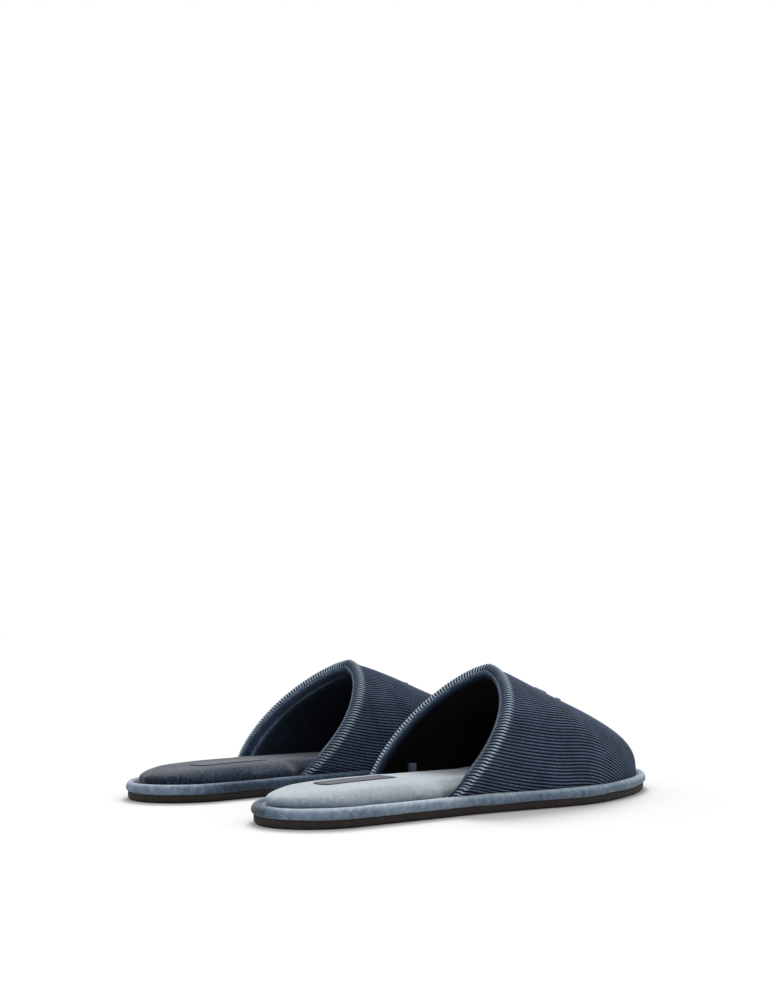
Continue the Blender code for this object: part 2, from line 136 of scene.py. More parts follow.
def outline_knots():
    """Points of the platform's outline, counter-clockwise from the heel by the outer side."""
    outer_toe = (BALL_OUTER[0] - TOE_X, LENGTH - BALL_OUTER[1])
    inner_toe = (BALL_INNER[0] - TOE_X, LENGTH - BALL_INNER[1])
    return np.vstack([
        quarter(HEEL_MIDDLE, (HEEL_OUTER, -HEEL_MIDDLE[1]), HEEL_ROUND)[::-1],
        [WAIST_OUTER],
        quarter((TOE_X, BALL_OUTER[1]), outer_toe, TOE_ROUND_OUTER),
        quarter((TOE_X, BALL_INNER[1]), inner_toe, TOE_ROUND_INNER)[-2::-1],
        [WAIST_INNER],
        quarter(HEEL_MIDDLE, (-HEEL_INNER, -HEEL_MIDDLE[1]), HEEL_ROUND)[:-1],
    ])


def closed_curve(points, count):
    """Even steps along a smooth closed curve through the given points, as an array."""
    knots = np.array(points, float)
    before, after = np.roll(knots, 1, axis=0), np.roll(knots, -1, axis=0)
    spans = np.linalg.norm(after - knots, axis=1)[:, None]
    slopes = (after - before) / (np.roll(spans, 1, axis=0) + spans)
    t = np.linspace(0.0, 1.0, 40, endpoint=False)[:, None, None]
    share = 2 * t**3 - 3 * t**2 + 1
    pull = ((t**3 - 2 * t**2 + t) * slopes + (t**3 - t**2) * np.roll(slopes, -1, axis=0)) * spans
    fine = (share * knots + (1 - share) * after + pull).transpose(1, 0, 2).reshape(-1, 2)
    return resampled(np.vstack([fine, fine[:1]]), np.linspace(0.0, 1.0, count, endpoint=False))


def distances(points):
    """How far along its row each point is: the points run along the last axis but one."""
    steps = np.linalg.norm(np.diff(points, axis=-2), axis=-1)
    return np.concatenate([np.zeros_like(steps[..., :1]), np.cumsum(steps, axis=-1)], axis=-1)


def resampled(line, shares):
    """Points at the given shares of a polyline's length."""
    walked = distances(line)
    return np.column_stack([np.interp(shares * walked[-1], walked, column) for column in line.T])


def outline(inset, count=RING_POINTS):
    """The platform's outline moved inwards by inset, a number or one value for each point."""
    ring = closed_curve(outline_knots(), count)
    along = np.roll(ring, -1, axis=0) - np.roll(ring, 1, axis=0)
    along /= np.linalg.norm(along, axis=1)[:, None]
    inward = np.column_stack([-along[:, 1], along[:, 0]])
    return ring + inward * np.broadcast_to(inset, count)[:, None]


def with_height(ring, height):
    return np.column_stack([ring, np.broadcast_to(height, len(ring))])


def spine_beside(edge):
    """For each point of a ring, the nearest place on the slipper's long middle line."""
    return np.column_stack([np.full(len(edge), SPINE_X), np.clip(edge[:, 1], SPINE_HEEL, SPINE_TOE)])


def smooth_step(value, low, high):
    t = np.clip((value - low) / (high - low), 0.0, 1.0)
    return t * t * (3.0 - 2.0 * t)


def wobble(points, size, seed):
    """Smooth uneven values from -1 to 1 at points, with lumps about size wide."""
    rng = np.random.default_rng(seed)
    total = np.zeros(len(points))
    for _ in range(7):
        direction = rng.normal(size=3)
        direction /= np.linalg.norm(direction)
        wave = 2 * math.pi / (size * rng.uniform(1.4, 2.8))
        total += np.sin(points @ direction * wave + rng.uniform(0, 2 * math.pi))
    return total / 3.5


class Side:
    """One slipper: its name, its body and the move from its own frame to the row frame."""

    def __init__(self, name):
        self.name = name
        self.body = name + "_slipper"
        self.left = name == "left"
        self.sign = -1.0 if self.left else 1.0
        ring = outline(0.0)
        low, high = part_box(name + "_platform_band")
        outer = low.x if self.left else high.x
        self.origin = np.array([outer - self.sign * ring[:, 0].max(), low.y - ring[:, 1].min(), 0.0])

    def placed(self, points):
        return np.asarray(points) * (self.sign, 1.0, 1.0) + self.origin

    def node(self, name):
        return self.name + "_" + name


# --- the camera, the floor and the light ---------------------------------------------------------

def add_camera(right):
    """A camera low behind the pair's outer side, looking slightly up, so the pair sits low."""
    azimuth, rise = math.radians(46.33), math.radians(5.26)
    aim = Vector(right.origin) + Vector((0.0, 0.145, 0.020))
    aside, below, distance = 0.0592609, 0.1914917, 0.7734     # two slopes, and metres
    level = math.cos(rise)
    forward = Vector((-math.sin(azimuth) * level, math.cos(azimuth) * level, math.sin(rise)))
    across = Vector((math.cos(azimuth), math.sin(azimuth), 0.0))
    upward = across.cross(forward)
    towards = (forward + aside * across - below * upward).normalized()
    data = bpy.data.cameras.new("camera")
    data.sensor_width = 36.0
    data.lens = 49.6314
    data.clip_start = 0.01
    camera = bpy.data.objects.new("camera", data)
    turn = Matrix((across, upward, -forward)).transposed()
    camera.matrix_world = Matrix.Translation(aim - towards * distance) @ turn.to_4x4()
    bpy.context.scene.collection.objects.link(camera)
    bpy.context.scene.camera = camera


def add_floor():
    paper = Finish("floor_paper", roughness=0.9, specular=0.0)
    grain = paper.noise(40.0, detail=2)
    paper.paint(paper.blend(grain, (0.610, 0.610, 0.610), (0.622, 0.622, 0.622)))
    mesh = bpy.data.meshes.new("floor")
    reach = 8.0
    corners = [(-reach, -reach, 0), (reach, -reach, 0), (reach, reach, 0), (-reach, reach, 0)]
    mesh.from_pydata(corners, [], [(0, 1, 2, 3)])
    mesh.materials.append(paper.material)
    floor = bpy.data.objects.new("floor", mesh)
    floor.location.z = -0.0002
    bpy.context.scene.collection.objects.link(floor)


def add_lights():
    """An even white surround, and a broad sun from beyond the pair, facing the camera."""
    world = bpy.data.worlds.new("studio")
    world.use_nodes = True
    surround = world.node_tree.nodes["Background"].inputs
    surround["Color"].default_value = (1.0, 1.0, 1.0, 1.0)
    surround["Strength"].default_value = 1.0
    bpy.context.scene.world = world
    bpy.context.scene.view_settings.view_transform = "Standard"
    sun = bpy.data.lights.new("key", "SUN")
    sun.energy, sun.angle = 3.0, math.radians(30)
    lamp = bpy.data.objects.new("key", sun)
    lamp.rotation_euler = (math.radians(-46), 0.0, math.radians(44))
    bpy.context.scene.collection.objects.link(lamp)


# --- materials -----------------------------------------------------------------------------------

class Finish:
    """One procedural material: a Principled shader and short calls that add nodes to it."""

    def __init__(self, name, roughness=0.85, specular=0.1, sheen=0.0, sheen_roughness=0.5):
        self.material = bpy.data.materials.new(name)
        self.material.use_nodes = True
        self.tree = self.material.node_tree
        self.shader = self.tree.nodes["Principled BSDF"]
        self.set(self.shader, {
            "Roughness": roughness, "Specular IOR Level": specular,
            "Sheen Weight": sheen, "Sheen Roughness": sheen_roughness,
        })

    def connect(self, socket, value):
        """Links a socket to another node's output, or sets it to a number or a colour."""
        if isinstance(value, bpy.types.NodeSocket):
            self.tree.links.new(value, socket)
        elif socket.type == "RGBA":
            socket.default_value = (*value, 1.0)
        else:
            socket.default_value = value

    def set(self, node, values):
        for name, value in values.items():
            self.connect(node.inputs[name], value)

    def node(self, kind, output, values, **settings):
        made = self.tree.nodes.new(kind)
        for name, value in settings.items():
            setattr(made, name, value)
        self.set(made, values)
        return made.outputs[output]

    def place(self, stretch=(1.0, 1.0, 1.0), turn=0.0, fabric=False):
        """Where a point is: in metres in the row frame, or along and across the fabric."""
        if fabric:
            spot = self.node("ShaderNodeUVMap", "UV", {}, uv_map="fabric")
        else:
            spot = self.node("ShaderNodeTexCoord", "Object", {})
        return self.node(
            "ShaderNodeMapping", "Vector",
            {"Vector": spot, "Scale": stretch, "Rotation": (0.0, 0.0, turn)},
        )

    def noise(self, scale, detail=3.0, roughness=0.55, place=None):
        values = {"Vector": place or self.place(), "Scale": scale, "Detail": detail, "Roughness": roughness}
        return self.node("ShaderNodeTexNoise", "Fac", values)

    def waves(self, scale, place, distortion=0.0, direction="X"):
        values = {"Vector": place, "Scale": scale, "Distortion": distortion}
        return self.node("ShaderNodeTexWave", "Fac", values, bands_direction=direction)

    def cells(self, scale):
        return self.node("ShaderNodeTexVoronoi", "Distance", {"Vector": self.place(), "Scale": scale})

    def stored(self, name):
        """A value that the mesh holds for each point."""
        return self.node("ShaderNodeAttribute", "Fac", {}, attribute_name=name)

    def ramp(self, value, low, high, bottom=0.0, top=1.0):
        """A value stretched from low and high to bottom and top, and kept between them."""
        values = {"Value": value, "From Min": low, "From Max": high, "To Min": bottom, "To Max": top}
        return self.node("ShaderNodeMapRange", "Result", values)

    def maths(self, operation, first, second, clamp=False):
        made = self.tree.nodes.new("ShaderNodeMath")
        made.operation = operation
        made.use_clamp = clamp
        self.connect(made.inputs[0], first)
        self.connect(made.inputs[1], second)
        return made.outputs["Value"]

    def times(self, first, second):
        return self.maths("MULTIPLY", first, second)

    def plus(self, first, second):
        """A sum kept between 0 and 1."""
        return self.maths("ADD", first, second, clamp=True)

    def blend(self, share, first, second):
        """A colour between two colours."""
        made = self.tree.nodes.new("ShaderNodeMix")
        made.data_type = "RGBA"
        for socket, value in ((0, share), (6, first), (7, second)):
            self.connect(made.inputs[socket], value)
        return made.outputs[2]

    def paint(self, value):
        self.set(self.shader, {"Base Color": value})

    def paint_pile(self, mottled_painted_light, middle, dark, slate, pale):
        """Dark at 0, slate at middle and pale at 1."""
        low = self.blend(self.ramp(mottled_painted_light, 0.0, middle), dark, slate)
        self.paint(self.blend(self.ramp(mottled_painted_light, middle, 1.0), low, pale))

    def rough(self, value):
        self.set(self.shader, {"Roughness": value})

    def bump(self, height, distance, strength=1.0, below=None):
        values = {"Height": height, "Distance": distance, "Strength": strength}
        if below is not None:
            values["Normal"] = below
        normal = self.node("ShaderNodeBump", "Normal", values)
        self.set(self.shader, {"Normal": normal})
        return normal


def corduroy_finish():
    """Navy corduroy: rib crowns painted pale as painted highlights, dark valleys, short pile fibres along the
    ribs.
    """
    cloth = Finish("corduroy", roughness=0.92, specular=0.06, sheen=0.05, sheen_roughness=0.4)
    crown = cloth.stored("crown")
    along = cloth.place((1.0, 0.22, 1.0), fabric=True)
    fibre = cloth.noise(2600.0, detail=4, roughness=0.7, place=along)
    patch = cloth.noise(70.0, detail=4, roughness=0.6)
    # painted highlight: the rib crowns are painted pale, broken up by the fibres and patches
    crown_highlight = cloth.times(cloth.ramp(crown, 0.50, 0.92), cloth.ramp(fibre, 0.22, 0.62))
    crown_highlight = cloth.times(crown_highlight, cloth.ramp(patch, 0.30, 0.70, 0.55, 1.0))
    valley = cloth.blend(cloth.ramp(patch, 0.3, 0.7), colour(17, 21, 32), colour(24, 29, 41))
    base = cloth.blend(crown_highlight, valley, colour(97, 114, 138))
    # painted highlight: the rib crowns on the rolled edge's shoulder are painted paler still
    knuckle_highlight = cloth.times(cloth.stored("knuckle_highlight"), cloth.ramp(crown, 0.55, 0.95))
    cloth.paint(cloth.blend(cloth.times(knuckle_highlight, 0.90), base, colour(168, 186, 200)))
    cloth.rough(cloth.ramp(fibre, 0.2, 0.8, 0.78, 0.98))
    cloth.bump(fibre, 0.00016, 0.7)
    return cloth.material


def velour_finish():
    """Short velour pile. The stored value paints light and shade into its colour: pale as painted sheen, dark
    as painted shade.
    """
    cloth = Finish("velour", roughness=0.95, specular=0.06, sheen=0.25, sheen_roughness=0.45)
    painted_light = cloth.stored("painted_light")
    mottle = cloth.noise(520.0, detail=5, roughness=0.75)
    speck = cloth.noise(1500.0, detail=3, roughness=0.7)
    # painted sheen and shade from the stored value, with random mottle and specks on top
    mottled_painted_light = cloth.plus(painted_light, cloth.ramp(mottle, 0.3, 0.7, -0.13, 0.13))
    mottled_painted_light = cloth.plus(mottled_painted_light, cloth.ramp(speck, 0.3, 0.7, -0.12, 0.12))
    cloth.paint_pile(mottled_painted_light, 0.45, colour(26, 33, 46), colour(84, 103, 124), colour(160, 168, 172))
    soft = cloth.bump(mottle, 0.0004, 0.45)
    cloth.bump(speck, 0.0002, 0.6, below=soft)
    return cloth.material


def knit_band_finish():
    """The same pile stretched over the band, where the knit's slanting rows show."""
    cloth = Finish("band_velour", roughness=0.95, specular=0.06, sheen=0.25, sheen_roughness=0.45)
    painted_light = cloth.stored("painted_light")
    hatch = cloth.waves(1.0, cloth.place((330.0, 330.0, 1.0), turn=math.radians(48), fabric=True), 1.5)
    cross = cloth.waves(1.0, cloth.place((430.0, 430.0, 1.0), turn=math.radians(-52), fabric=True), 1.0)
    knit = cloth.times(hatch, cloth.ramp(cross, 0.0, 1.0, 0.45, 1.0))
    mottle = cloth.noise(330.0, detail=4, roughness=0.65)
    # painted sheen and shade from the stored value, with random mottle; the knit rows darken it below
    mottled_painted_light = cloth.plus(painted_light, cloth.ramp(mottle, 0.3, 0.7, -0.14, 0.14))
    row = cloth.times(cloth.stored("stretched"), cloth.ramp(knit, 0.05, 0.6, 1.0, 0.0))
    mottled_painted_light = cloth.plus(mottled_painted_light, cloth.ramp(row, 0.0, 1.0, 0.0, -0.42))
    cloth.paint_pile(mottled_painted_light, 0.45, colour(24, 31, 44), colour(84, 103, 124), colour(170, 184, 193))
    soft = cloth.bump(mottle, 0.0004, 0.4)
    cloth.bump(knit, 0.00025, 0.6, below=soft)
    return cloth.material


def lining_finish():
    """Lining pile with light painted in: a slate painted highlight at the rim, painted shade near black
    inside.
    """
    cloth = Finish("lining_cloth", roughness=0.95, specular=0.03, sheen=0.04, sheen_roughness=0.5)
    fuzz = cloth.noise(700.0, detail=5, roughness=0.75)
    patch = cloth.noise(150.0, detail=3)
    painted_light = cloth.times(cloth.stored("painted_light"), cloth.ramp(fuzz, 0.25, 0.75, 0.55, 1.25))
    painted_light = cloth.times(painted_light, cloth.ramp(patch, 0.3, 0.7, 0.8, 1.1))
    cloth.paint_pile(painted_light, 0.4, colour(3, 4, 7), colour(50, 62, 80), colour(130, 150, 168))
    cloth.bump(fuzz, 0.0003, 0.6)
    return cloth.material


def outsole_finish():
    """Foamed sole sheet, cut through at the side: fine upright saw lines and pores."""
    rubber = Finish("eva_sole", roughness=0.8, specular=0.25)
    lines = rubber.noise(900.0, detail=3, roughness=0.7, place=rubber.place((1.0, 1.0, 0.06)))
    pores = rubber.cells(1400.0)
    cloud = rubber.noise(90.0, detail=4)
    tone = rubber.times(rubber.ramp(lines, 0.3, 0.75), rubber.ramp(cloud, 0.3, 0.7, 0.4, 1.0))
    base = rubber.blend(tone, colour(34, 30, 29), colour(60, 54, 52))
    dust = rubber.ramp(rubber.noise(1700.0, detail=1), 0.70, 0.76)
    rubber.paint(rubber.blend(rubber.times(dust, 0.5), base, colour(120, 108, 100)))
    rubber.rough(rubber.ramp(lines, 0.2, 0.8, 0.65, 0.92))
    soft = rubber.bump(lines, 0.0003, 0.6)
    rubber.bump(pores, 0.0002, 0.4, below=soft)
    return rubber.material


def tape_finish(name, dark, pale, scale):
    """Woven tape: warp and weft threads crossing."""
    cloth = Finish(name, roughness=0.7, specular=0.2, sheen=0.1)
    warp = cloth.waves(1.0, cloth.place((scale, scale, 1.0), fabric=True), 0.6)
    weft = cloth.waves(1.0, cloth.place((scale, scale, 1.0), fabric=True), 0.6, direction="Y")
    weave = cloth.times(warp, weft)
    wear = cloth.noise(160.0, detail=4)
    tone = cloth.times(cloth.ramp(weave, 0.1, 0.9, 0.3, 1.0), cloth.ramp(wear, 0.3, 0.7, 0.5, 1.0))
    cloth.paint(cloth.blend(tone, dark, pale))
    cloth.bump(weave, 0.0002, 0.6)
    return cloth.material


def thread_finish(name, dark, pale):
    """Twisted sewing thread."""
    thread = Finish(name, roughness=0.6, specular=0.3, sheen=0.2)
    twist = thread.waves(1.0, thread.place((5200.0, 5200.0, 5200.0), turn=0.7), 1.0)
    fuzz = thread.noise(1500.0, detail=2)
    tone = thread.times(twist, thread.ramp(fuzz, 0.25, 0.75, 0.4, 1.0))
    thread.paint(thread.blend(tone, dark, pale))
    thread.bump(twist, 0.0001, 0.5)
    return thread.material


def board_finish():
    board = Finish("fibre_board", roughness=0.9, specular=0.1)
    fibres = board.noise(600.0, detail=5, roughness=0.75, place=board.place((1.0, 0.3, 1.0)))
    board.paint(board.blend(board.ramp(fibres, 0.3, 0.7), colour(120, 98, 74), colour(168, 146, 116)))
    board.bump(fibres, 0.0002, 0.5)
    return board.material


def foam_finish():
    foam = Finish("foam", roughness=0.95, specular=0.1)
    cells = foam.cells(1100.0)
    cloud = foam.noise(120.0, detail=3)
    pale = foam.blend(foam.ramp(cloud, 0.3, 0.7), colour(206, 200, 182), colour(226, 222, 208))
    foam.paint(foam.blend(foam.ramp(cells, 0.0, 0.35), colour(150, 142, 122), pale))
    foam.bump(cells, 0.0003, 0.7)
    return foam.material


# --- meshes --------------------------------------------------------------------------------------

def grid_quads(columns, rows, both=False):
    """Corner numbers of the quads between columns of rows, and each corner's column and row.

    The last column joins the first one, and with both the last row joins the first one too.
    """
    i, k = np.meshgrid(np.arange(columns), np.arange(rows if both else rows - 1), indexing="ij")
    i, k = i.ravel(), k.ravel()
    corner_columns = np.stack([i, i + 1, i + 1, i], axis=1)
    corner_rows = np.stack([k, k, k + 1, k + 1], axis=1)
    return corner_columns % columns * rows + corner_rows % rows, corner_columns, corner_rows


def skinned(rings):
    """Points and faces of a solid skinned over a stack of rings, capped at the first and last."""
    count, around = rings.shape[:2]
    quads, _, _ = grid_quads(around, count)
    caps = [np.arange(around) * count, np.arange(around)[::-1] * count + count - 1]
    return rings.transpose(1, 0, 2).reshape(-1, 3), list(quads) + caps


def new_piece(side, name, points, faces, finish, fabric=None, stored=None):
    """Makes a piece of the side's slipper. fabric holds each face corner's place on the cloth."""
    mesh = bpy.data.meshes.new(side.node(name))
    mesh.from_pydata(side.placed(points).tolist(), [], [list(map(int, face)) for face in faces])
    if fabric is not None:
        layer = mesh.uv_layers.new(name="fabric")
        flat = np.concatenate([np.asarray(corners, np.float32).ravel() for corners in fabric])
        layer.data.foreach_set("uv", flat)
    for key, values in (stored or {}).items():
        attribute = mesh.attributes.new(key, "FLOAT", "POINT")
        attribute.data.foreach_set("value", np.asarray(values, np.float32).ravel())
    work = bmesh.new()
    work.from_mesh(mesh)
    bmesh.ops.recalc_face_normals(work, faces=work.faces)
    work.to_mesh(mesh)
    work.free()
    mesh.shade_smooth()
    mesh.materials.append(finish)
    piece = bpy.data.objects.new(side.node(name), mesh)
    bpy.context.scene.collection.objects.link(piece)
    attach(piece, side.body)
    return piece


def stands_for(side, piece, slot, *nodes):
    """Hides the CAD nodes that the piece is drawn for. The slot is not used."""
    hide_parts(*[side.node(node) for node in nodes])


def closed_strips(side, name, strips, finish, fabric=None, stored=None):
    """A solid whose columns are closed rings of points, capped at the first and last column."""
    points, faces = skinned(strips)
    corners = None
    if fabric is not None:
        rows = strips.shape[1]
        _, corner_columns, corner_rows = grid_quads(rows, len(strips))
        spots = fabric.transpose(1, 0, 2)
        spots = np.concatenate([spots, spots[:1]])
        corners = [spots[corner_columns, corner_rows]] + [np.zeros((rows, 2))] * 2      # and the caps
    if stored is not None:
        stored = {key: values.T.ravel() for key, values in stored.items()}
    return new_piece(side, name, points, faces, finish, corners, stored)


def tube_mesh(path, radius, sides):
    """Rings round a path with a radius for each point, as points and faces with closed ends."""
    path = np.asarray(path, float)
    along = np.gradient(path, axis=0)
    along /= np.linalg.norm(along, axis=1)[:, None]
    across = np.cross(along, (0.0, 0.0, 1.0))
    weak = np.linalg.norm(across, axis=1) < 0.2
    across[weak] = np.cross(along[weak], (0.0, 1.0, 0.0))
    across /= np.linalg.norm(across, axis=1)[:, None]
    upward = np.cross(across, along)
    turns = np.linspace(0.0, 2 * math.pi, sides, endpoint=False)
    spread = np.cos(turns)[None, :, None] * across[:, None] + np.sin(turns)[None, :, None] * upward[:, None]
    points = path[:, None] + np.broadcast_to(radius, len(path))[:, None, None] * spread
    return skinned(points)


def joined(meshes):
    points, faces, first = [], [], 0
    for spots, quads in meshes:
        points.append(spots)
        faces += [tuple(first + corner for corner in face) for face in quads]
        first += len(spots)
    return np.concatenate(points), faces


def stitches(path, pitch, length, radius, closed=False):
    """Short plump stitches, end to end along a path, each one dipping into the cloth at its ends."""
    line = np.vstack([path, path[:1]]) if closed else np.asarray(path)
    total = distances(line)[-1]
    count = int(total / pitch)
    made = []
    for i in range(count):
        centre = (i + 0.5) / count
        half = length / total / 2
        shares = np.linspace(centre - half, centre + half, 6).clip(0.0, 1.0)
        swell = np.sin(np.linspace(0.25, math.pi - 0.25, 6))
        spots = resampled(line, shares)
        spots[:, 2] -= radius * 0.8 * (1 - swell)
        made.append(tube_mesh(spots, radius * (0.35 + 0.65 * swell), 6))
    return joined(made)


# --- sole ----------------------------------------------------------------------------------------

def outsole(side, looks):
    """The sole sheet: shallow waves across its tread, and saw marks on its cut sides."""
    edge = outline(OUTSOLE_INSET)
    spine = spine_beside(edge)
    turns = np.linspace(0.0, 2 * math.pi, len(edge), endpoint=False)
    rings = []
    for share in np.linspace(0.97, 0.03, 26):
        flat = edge + (spine - edge) * share
        sway = TREAD_SWAY * np.sin(flat[:, 0] * 2 * math.pi / TREAD_WAVE)
        phase = (flat[:, 1] + sway) / TREAD_PITCH
        groove = np.clip(np.sin(phase * 2 * math.pi) * 1.6, -1.0, 1.0) * 0.5 + 0.5
        rim = smooth_step(np.linalg.norm(flat - edge, axis=1), 0.004, 0.006)
        rings.append(with_height(flat, TREAD_DEPTH * (1.0 - groove * rim) * rim))
    for inset, height in OUTSOLE_WALL:
        coarse = 0.00007 * np.sin(turns * 190) * np.sin(turns * 31 + 1)
        saw = coarse + 0.000042 * np.sin(turns * 283 + height * 900)
        rings.append(with_height(outline(OUTSOLE_INSET + inset) + saw[:, None], height))
    rings.append(with_height(outline(OUTSOLE_INSET + 0.006), OUTSOLE_TOP))
    piece = closed_strips(side, "outsole", np.array(rings), looks["eva"])
    stands_for(side, piece, "eva_sole", "outsole")


def platform_band(side, looks):
    """The velour roll round the platform, slightly uneven as sewn cloth is."""
    profile = closed_curve(BAND_PROFILE, 22)
    middle = with_height(outline(BAND_MIDDLE[0]), BAND_MIDDLE[1])
    rings = []
    for inset, height in profile:
        ring = with_height(outline(inset), height)
        puff = wobble(ring, 0.018, 5) * 0.00022 + wobble(ring, 0.006, 6) * 0.00008
        rings.append(ring + unit(ring - middle) * (puff * (BAND_SEWN - inset) / BAND_SEWN)[:, None])
    rings = np.array(rings)
    around = len(rings[0])
    perimeter = distances(rings[3])[-1]
    steps = distances(np.vstack([profile, profile[:1]]))
    points = rings.transpose(1, 0, 2).reshape(-1, 3)
    faces, corner_columns, corner_rows = grid_quads(around, len(rings), both=True)
    fabric = [np.stack([corner_columns * perimeter / around, steps[corner_rows]], axis=-1)]
    # painted light and shade for the band; stretched marks where its knit rows show
    stored = {
        "painted_light": looks["band_painted_light"](points), "stretched": 1.0 - smooth_step(points[:, 2], 0.0074, 0.0094),
    }
    piece = new_piece(side, "platform_band", points, faces, looks["band"], fabric, stored)
    stands_for(side, piece, "band_velour", "platform_band")


# --- footbed -------------------------------------------------------------------------------------

def pad_edge(extra, count, bulge=0.0):
    """The footbed's outline, swollen by bulge where it is free at the heel."""
    ring = outline(0.0, count)
    inside = smooth_step(ring[:, 1], TUCK_START, TUCK_END)
    wall = WALL_INSET + inside * (WALL * (1 - TAPER) + 0.0004)
    return outline(wall + extra - bulge * (1.0 - inside), count)


def bulging(foot, swollen, height):
    """The pad's edge at a height, between its foot in the crease and its swollen side."""
    return foot + (swollen - foot) * smooth_step(height, PAD_SHOULDER, PAD_SHOULDER + 0.0030)


def pad_rings(smaller, count):
    """Rings of the pad from its foot, up its side and over its top, smaller by the swell."""
    edge = pad_edge(smaller * 0.25, count)
    spine = spine_beside(edge)
    crown = np.interp(edge[:, 1], PAD_CROWN_Y, PAD_CROWN_Z) - smaller
    rings = [with_height(edge, BOARD_TOP - 0.0020)]
    reach = np.linalg.norm(spine - edge, axis=1)
    swollen = pad_edge(smaller * 0.25, count, PAD_BULGE)
    for share in PAD_SHARES:
        run = np.clip(reach * share / PAD_ROUND, 0.0, 1.0)
        rise = (1.0 - (1.0 - run) ** PAD_ROUND_POWER) ** (1.0 / PAD_ROUND_POWER)
        height = PAD_SHOULDER + (crown - PAD_SHOULDER) * rise
        start = bulging(edge, swollen, height[:, None])
        rings.append(with_height(start + (spine - start) * share, height))
    return np.array(rings)


def settled_pad():
    """The footbed's shape after its filling has pressed the cover out, in the slipper's frame."""
    points, faces = skinned(pad_rings(PAD_SWELL, 160))
    mesh = bpy.data.meshes.new("pad_shape")
    mesh.from_pydata(points.tolist(), [], [list(map(int, face)) for face in faces])
    shape = bpy.data.objects.new("pad_shape", mesh)
    bpy.context.scene.collection.objects.link(shape)
    remesh = shape.modifiers.new("even", "REMESH")
    remesh.mode = "VOXEL"
    remesh.voxel_size = 0.0030
    smooth = shape.modifiers.new("smooth", "SMOOTH")
    smooth.iterations = 3
    bake_modifiers(shape)
    start = read_points(shape.data)
    cloth = shape.modifiers.new("filling", "CLOTH").settings
    cloth.quality = 5
    cloth.mass = 0.2
    cloth.tension_stiffness = cloth.compression_stiffness = 12.0
    cloth.bending_stiffness = 0.8
    cloth.use_pressure = True
    cloth.uniform_pressure_force = PAD_PRESSURE
    cloth.effector_weights.gravity = 0.0
    scene = bpy.context.scene
    for step in range(1, 21):
        scene.frame_set(step)
    bake_modifiers(shape)
    scene.frame_set(1)
    moved = read_points(shape.data) - start
    reach = np.linalg.norm(moved, axis=1)
    moved *= (np.minimum(reach, PAD_LIMIT) / np.maximum(reach, 1e-9))[:, None]
    shape.data.vertices.foreach_set("co", kept_inside(start + moved).astype(np.float32).ravel())
    rounder = shape.modifiers.new("rounder", "SUBSURF")
    rounder.levels = rounder.render_levels = 1
    bake_modifiers(shape)
    points = kept_inside(read_points(shape.data))
    faces = [list(face.vertices) for face in shape.data.polygons]
    bpy.data.objects.remove(shape)
    return points, faces


def kept_inside(points):
    """The pad's points brought back above the board and inside the band and the upper."""
    foot, swollen = pad_edge(0.0, 400), pad_edge(0.0, 400, PAD_BULGE)
    outward = unit(foot - spine_beside(foot))
    kept = np.column_stack([points[:, :2], np.maximum(points[:, 2], BOARD_TOP)])
    for i, point in enumerate(points):
        nearest = int(np.argmin(np.hypot(foot[:, 0] - point[0], foot[:, 1] - point[1])))
        edge = bulging(foot[nearest], swollen[nearest], kept[i, 2])
        past = float((point[:2] - edge) @ outward[nearest])
        if past > 0:
            kept[i, :2] -= past * outward[nearest]
    return kept


def read_points(mesh):
    flat = np.empty(len(mesh.vertices) * 3, np.float32)
    mesh.vertices.foreach_get("co", flat)
    return flat.reshape(-1, 3).astype(float)


def bake_modifiers(shape):
    """Puts what the modifiers make into the mesh and removes them."""
    graph = bpy.context.evaluated_depsgraph_get()
    made = bpy.data.meshes.new_from_object(shape.evaluated_get(graph))
    shape.modifiers.clear()
    shape.data = made


def cover_edge():
    """The flat rim of the footbed's cover, sewn down in the crease all round, as a closed ring."""
    low, high = BOARD_TOP, BOARD_TOP + 0.0005
    rows = ((WALL_INSET - 0.0005, low), (WALL_INSET - 0.0005, high), (0.0170, high), (0.0170, low))
    rings = np.array([with_height(outline(inset, 300), height) for inset, height in rows])
    faces, _, _ = grid_quads(rings.shape[1], len(rings), both=True)
    return rings.transpose(1, 0, 2).reshape(-1, 3), faces


def insole(side, looks):
    """The soft footbed: the settled pad and its cover's flat rim."""
    points, faces = joined([looks["pad"], cover_edge()])
    # painted sheen and shade for the footbed's cover
    stored = {"painted_light": looks["pad_painted_light"](points)}
    piece = new_piece(side, "insole", points, faces, looks["velour"], stored=stored)
    stands_for(side, piece, "sock_velour", "sock_cover", "insole_foam")


def heel_label(side, looks):
    """A woven strip sewn flat on the footbed, with its heel end rounded."""
    tree = BVHTree.FromPolygons([Vector(p) for p in looks["pad"][0]], looks["pad"][1])
    length, width, thickness, corner = 0.047, 0.0140, 0.0005, 0.0052
    heel, middle = 0.0375, -0.0015
    strips, spots = [], []
    for across in np.linspace(-0.5, 0.5, 13):
        upper, under, row = [], [], []
        past = max(abs(across) * width - width / 2 + corner, 0.0)
        trim = corner - math.sqrt(max(corner**2 - past**2, 0.0))
        rim = 1.0 - smooth_step((0.5 - abs(across)) * width, 0.0, 0.0012)
        for along in np.linspace(0.0, 1.0, 40):
            x, y = middle + across * width, heel + trim + (length - trim) * along
            ground = tree.ray_cast(Vector((x, y, 0.05)), Vector((0, 0, -1)))[0].z
            upper.append((x, y, ground + thickness * (1.0 - 0.35 * rim)))
            under.append((x, y, ground - 0.0002))
            row.append((across * width, y))
        strips.append(upper + under[::-1])
        spots.append(row + row[::-1])
    piece = closed_strips(side, "heel_label", np.array(strips), looks["label"], np.array(spots))
    stands_for(side, piece, "label_tape", "heel_label")
    side.node("insole")


# --- upper ---------------------------------------------------------------------------------------

